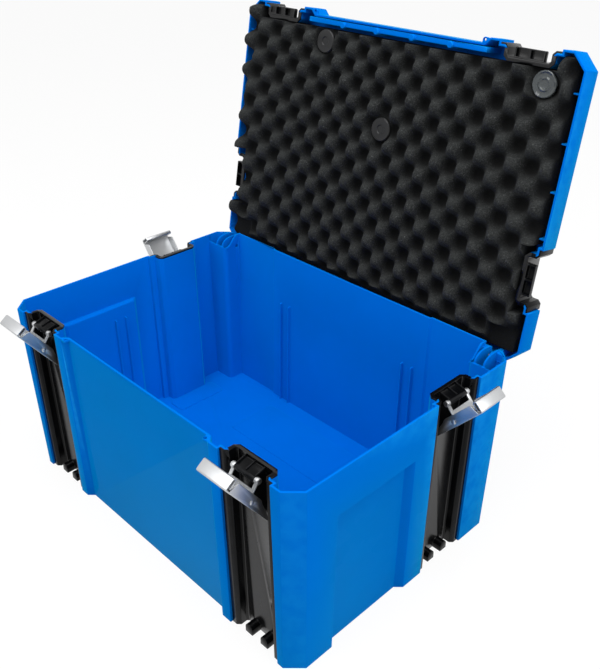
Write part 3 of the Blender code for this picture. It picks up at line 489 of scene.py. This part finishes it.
def add_boss_webs():
    """Three thin webs that stiffen each latch's pivot boss against the channel's back."""
    web = block("boss_web", WEB_CENTRE, WEB_SIZE)
    pick_edges(web, lambda a, b: min(a.y, b.y) > WEB_BACK)
    bpy.ops.transform.translate(value=(0, 0, WEB_RISE))
    bpy.ops.mesh.select_all(action="SELECT")
    bpy.ops.mesh.bevel(offset=WEB_ROUND, segments=2, affect="EDGES")
    bpy.ops.object.mode_set(mode="OBJECT")
    for latch, (x, y, turn) in LATCH_PLACES.items():
        place = Matrix.Translation((x, y, TUB_RIM)) @ Matrix.Rotation(math.radians(turn), 4, "Z")
        for side, along in (("first", -BOSS_HALF), ("middle", 0), ("last", BOSS_HALF)):
            twin = copied(web, f"boss_web_{latch}_{side}", place @ Matrix.Translation((along, 0, 0)))
            finished(twin, "tub", BLACK)
    bpy.data.objects.remove(web)


def floor_pad(name, centre, wide, deep, corner, top):
    """A low rounded pad moulded on the tub's floor."""
    foot = TUB_FLOOR - PAD_SINK
    pad = block(name, (*centre, (foot + top) / 2), (wide, deep, top - foot))
    pick_edges(pad, lambda a, b: abs(a.z - b.z) > 0.0001)
    bpy.ops.mesh.bevel(offset=corner, segments=7, affect="EDGES")
    pick_edges(pad, lambda a, b: min(a.z, b.z) > top - 0.0001)
    bpy.ops.mesh.bevel(offset=(top - TUB_FLOOR) * 0.8, segments=3, affect="EDGES")
    bpy.ops.object.mode_set(mode="OBJECT")
    finished(pad, "tub", BLUE)


def add_floor_pads():
    for side, y in (("front", -0.113), ("rear", 0.113)):
        top = TUB_FLOOR + PLATEAU_HEIGHT
        floor_pad("floor_plateau_" + side, (0, y), PLATEAU_WIDE, PLATEAU_DEEP, PLATEAU_CORNER, top)
    for latch, (x, y, turn) in LATCH_PLACES.items():
        centre, wide, deep = (x, FRONT_PAD_Y), TROUGH_PAD_LONG, TROUGH_PAD_SHORT
        if turn:
            centre, wide, deep = (math.copysign(SIDE_PAD_X, x), y), TROUGH_PAD_SHORT, TROUGH_PAD_LONG
        floor_pad("trough_pad_" + latch, centre, wide, deep, TROUGH_PAD_CORNER, TUB_FLOOR + TROUGH_PAD_HEIGHT)


# Convoluted foam in the lid
FOAM_BACKING = 0.3102
WAVE_X, WAVE_Y = 0.0223, 0.0243
DRIFT_X = (-0.573, 1.293, 2.525, 0.747, -1.129, -0.981, -3.275, -0.583, 0.180, -0.999)
DRIFT_Y = (1.571, -1.727, 0.230, 0.356, 0.428, -0.471, 1.257, -0.830, 0.592, 0.102)
FOAM_LEFT, FOAM_RIGHT, FOAM_FRONT = -0.2935, 0.287, -0.197
FOAM_HEEL = 0.1892
FOAM_EDGE = 0.0085
FOAM_STEP, EDGE_STEP = 0.0024, 0.0007
EDGE_LEFT, EDGE_RIGHT, EDGE_FRONT = -0.2850, 0.2785, -0.1885
CORNER_CUT = 0.4778  # sum of |x| and |y| along the cut corners
TONGUE_X, TONGUE_Y = 0.2683, -0.1782
CATCH_X, CATCH_FROM, CATCH_TO = 0.2742, 0.0352, 0.1308
COLUMN_X, COLUMN_Y, COLUMN_ROOM = 0.243, 0.151, 0.2875
KNUCKLE_ROOM = 0.0226
EASE_RUN = 0.008
PLUG_CENTRES = {"left": (-0.124, -0.1605), "middle": (0.007, -0.055), "right": (0.250, -0.1605)}
PLUG_SEAT = 0.2823
PLUG_WIDE = 0.017


def stepped(stops, step):
    line = []
    for low, high in zip(stops, stops[1:]):
        count = max(1, round((high - low) / step))
        line += [low + (high - low) * i / count for i in range(count)]
    return line + [stops[-1]]


def eased(share):
    share = min(max(share, 0.0), 1.0)
    return share * share * (3 - 2 * share)


def drifted(along, half_wave, drift, x, y):
    """Phase of one set of wave lines; the soft sheet was laid in by hand, so its lines drift slowly."""
    u, v = x / 0.28, y / 0.18
    parts = (1, u, v, u * u, u * v, v * v, u ** 3, u * u * v, u * v * v, v ** 3)
    return math.pi * along / half_wave + sum(share * part for share, part in zip(drift, parts))


def foam_face(x, y):
    """Height of the foam's waved face over one point of the closed lid; lower stands prouder."""
    wave = math.cos(drifted(x, WAVE_X, DRIFT_X, x, y)) * math.cos(drifted(y, WAVE_Y, DRIFT_Y, x, y))
    wave *= 1.35 - 0.35 * wave * wave
    face = FOAM_MID - FOAM_WAVE * wave + 0.0006 * math.sin(29 * x + 2) * math.sin(37 * y)
    inside = min(x - FOAM_LEFT, FOAM_RIGHT - x, y - FOAM_FRONT, FOAM_EDGE)
    face += FOAM_EDGE - math.sqrt(FOAM_EDGE ** 2 - (FOAM_EDGE - inside) ** 2)
    for px, py in PLUG_CENTRES.values():
        away = math.hypot(x - px, y - py)
        pressed = 1 - eased((away - PLUG_WIDE) / EASE_RUN)
        face = face + (max(face, PLUG_SEAT) - face) * pressed
    over_column = eased((abs(x) - COLUMN_X) / EASE_RUN) * eased((y - COLUMN_Y) / EASE_RUN)
    face = face + (max(face, COLUMN_ROOM) - face) * over_column
    dy = y - HINGE_LINE.y
    if abs(dy) < KNUCKLE_ROOM:
        face = max(face, HINGE_LINE.z + math.sqrt(KNUCKLE_ROOM ** 2 - dy ** 2))
    return face


def add_foam():
    xs = stepped([FOAM_LEFT, EDGE_LEFT], EDGE_STEP)[:-1]
    xs += stepped([EDGE_LEFT, -CATCH_X, -TONGUE_X, TONGUE_X, CATCH_X, EDGE_RIGHT], FOAM_STEP)[:-1]
    xs += stepped([EDGE_RIGHT, FOAM_RIGHT], EDGE_STEP)
    ys = stepped([FOAM_FRONT, EDGE_FRONT], EDGE_STEP)[:-1]
    ys += stepped([EDGE_FRONT, TONGUE_Y, CATCH_FROM, CATCH_TO, FOAM_HEEL], FOAM_STEP)
    bpy.ops.object.select_all(action="DESELECT")
    bpy.ops.mesh.primitive_grid_add(x_subdivisions=len(xs) - 1, y_subdivisions=len(ys) - 1, size=1)
    pad = bpy.context.object
    pad.name = "foam_pad_convoluted"
    wide = len(xs)
    for vertex in pad.data.vertices:
        x, y = xs[vertex.index % wide], ys[vertex.index // wide]
        limit = CORNER_CUT - abs(y)
        end = -FOAM_LEFT if x < 0 else FOAM_RIGHT
        if abs(x) > TONGUE_X and limit < end:
            x = math.copysign(TONGUE_X + (abs(x) - TONGUE_X) * (limit - TONGUE_X) / (end - TONGUE_X), x)
        face = min(foam_face(x, y), FOAM_BACKING - 0.005)
        swell = eased((-x - 0.280) / 0.0135) * eased((TUB_RIM + 0.006 - face) / 0.012)
        swell *= eased((limit - end) / 0.006)
        vertex.co = (x - 0.003 * swell, y, face)
    editing(pad, "DESELECT")
    bpy.ops.mesh.select_mode(type="FACE")
    bpy.ops.object.mode_set(mode="OBJECT")
    for face in pad.data.polygons:
        x, y = face.center.x, face.center.y
        front_gap = abs(x) < TONGUE_X and y < TONGUE_Y
        side_gap = abs(x) > CATCH_X and CATCH_FROM < y < CATCH_TO
        face.select = front_gap or side_gap
    bpy.ops.object.mode_set(mode="EDIT")
    bpy.ops.mesh.delete(type="FACE")
    bpy.ops.mesh.select_all(action="SELECT")
    bpy.ops.mesh.region_to_loop()
    bpy.ops.mesh.extrude_edges_move(TRANSFORM_OT_translate={"value": (0, 0, 0.004)})
    bpy.ops.object.mode_set(mode="OBJECT")
    for vertex in pad.data.vertices:
        if vertex.select:
            vertex.co.z = FOAM_BACKING
    bpy.ops.object.mode_set(mode="EDIT")
    bpy.ops.mesh.edge_face_add()
    bpy.ops.mesh.select_all(action="SELECT")
    bpy.ops.mesh.normals_make_consistent(inside=False)
    bpy.ops.object.mode_set(mode="OBJECT")
    opened(pad)
    finished(pad, "lid", FOAM, 50)
    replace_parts(pad, "foam_pad")


# Light, floor and surroundings
def seen_directly(tree):
    path = tree.nodes.new("ShaderNodeLightPath")
    both = sums(tree, "MAXIMUM", path.outputs["Is Camera Ray"], path.outputs["Is Glossy Ray"])
    return sums(tree, "MAXIMUM", both, path.outputs["Is Transmission Ray"])


def add_world():
    world = bpy.data.worlds.new("white_studio")
    SCENE.world = world
    world.use_nodes = True
    tree = world.node_tree
    glow = tree.nodes["Background"]
    glow.inputs["Color"].default_value = (1, 1, 1, 1)
    glow.inputs["Strength"].default_value = 0.5
    backdrop = tree.nodes.new("ShaderNodeBackground")
    backdrop.inputs["Color"].default_value = (1, 1, 1, 1)
    backdrop.inputs["Strength"].default_value = 1.0
    mix = tree.nodes.new("ShaderNodeMixShader")
    tree.links.new(seen_directly(tree), mix.inputs[0])
    tree.links.new(glow.outputs[0], mix.inputs[1])
    tree.links.new(backdrop.outputs[0], mix.inputs[2])
    tree.links.new(mix.outputs[0], tree.nodes["World Output"].inputs["Surface"])


def add_floor():
    bpy.ops.object.select_all(action="DESELECT")
    bpy.ops.mesh.primitive_plane_add(size=40, location=(0, 0, -0.0002))
    floor = bpy.context.object
    floor.name = "floor"
    material = bpy.data.materials.new("pale_floor")
    material.use_nodes = True
    tree = material.node_tree
    shader = tree.nodes["Principled BSDF"]
    pale = tree.nodes.new("ShaderNodeMix")
    pale.data_type = "RGBA"
    pale.inputs[6].default_value = (0.5, 0.5, 0.5, 1)
    pale.inputs[7].default_value = (0.98, 0.98, 0.98, 1)
    tree.links.new(seen_directly(tree), pale.inputs[0])
    tree.links.new(pale.outputs[2], shader.inputs["Base Color"])
    shader.inputs["Roughness"].default_value = 0.9
    glow = tree.nodes.new("ShaderNodeEmission")
    mix = tree.nodes.new("ShaderNodeMixShader")
    tree.links.new(sums(tree, "MULTIPLY", seen_directly(tree), 0.9), mix.inputs[0])
    tree.links.new(shader.outputs[0], mix.inputs[1])
    tree.links.new(glow.outputs[0], mix.inputs[2])
    tree.links.new(mix.outputs[0], tree.nodes["Material Output"].inputs["Surface"])
    floor.data.materials.append(material)


def add_softbox(name, place, aim, wide, tall, power):
    box = bpy.data.lights.new(name, "AREA")
    box.shape = "RECTANGLE"
    box.size = wide
    box.size_y = tall
    box.energy = power
    lamp = bpy.data.objects.new(name, box)
    SCENE.collection.objects.link(lamp)
    lamp.location = place
    lamp.rotation_euler = (Vector(aim) - Vector(place)).to_track_quat("-Z", "Y").to_euler()


add_camera()
for node, piece in NODES.items():
    finish = STEEL
    if node in ("tub", "lid"):
        finish = BLUE
    elif node.startswith(("channel", "lid_catch")):
        finish = BLACK
    elif node == "foam_plug_right":
        finish = CLEAR
    elif node.startswith("foam"):
        finish = DARK_PLUG
    piece.data.materials.clear()
    piece.data.materials.append(finish)
softened("tub", "tub", BLUE, SHELL_ROUND, 3, grip_ledge)
softened("lid", "lid", BLUE, SHELL_ROUND, 3)
for latch in LATCH_PLACES:
    softened("channel_" + latch, "tub", BLACK, LINER_ROUND)
    softened("lid_catch_" + latch, "lid", BLACK, LINER_ROUND)
    softened("link_" + latch, "link_" + latch, STEEL, SHEET_ROUND)
    softened("lever_" + latch, "lever_" + latch, STEEL, SHEET_ROUND)
dished(softened("foam_plug_right", "lid", CLEAR, PLUG_ROUND, 3))
add_boss_webs()
add_floor_pads()
add_foam()
add_floor()
add_world()
add_softbox("key_softbox", (-0.7, -2.0, 1.8), (0, 0, 0.3), 1.8, 1.4, 15)
add_softbox("side_softbox", (2.2, 0.4, 1.7), (0, 0, 0.2), 1.6, 1.4, 27)
add_softbox("top_softbox", (0.3, -0.45, 2.4), (0, 0, 0.1), 1.8, 1.6, 46)
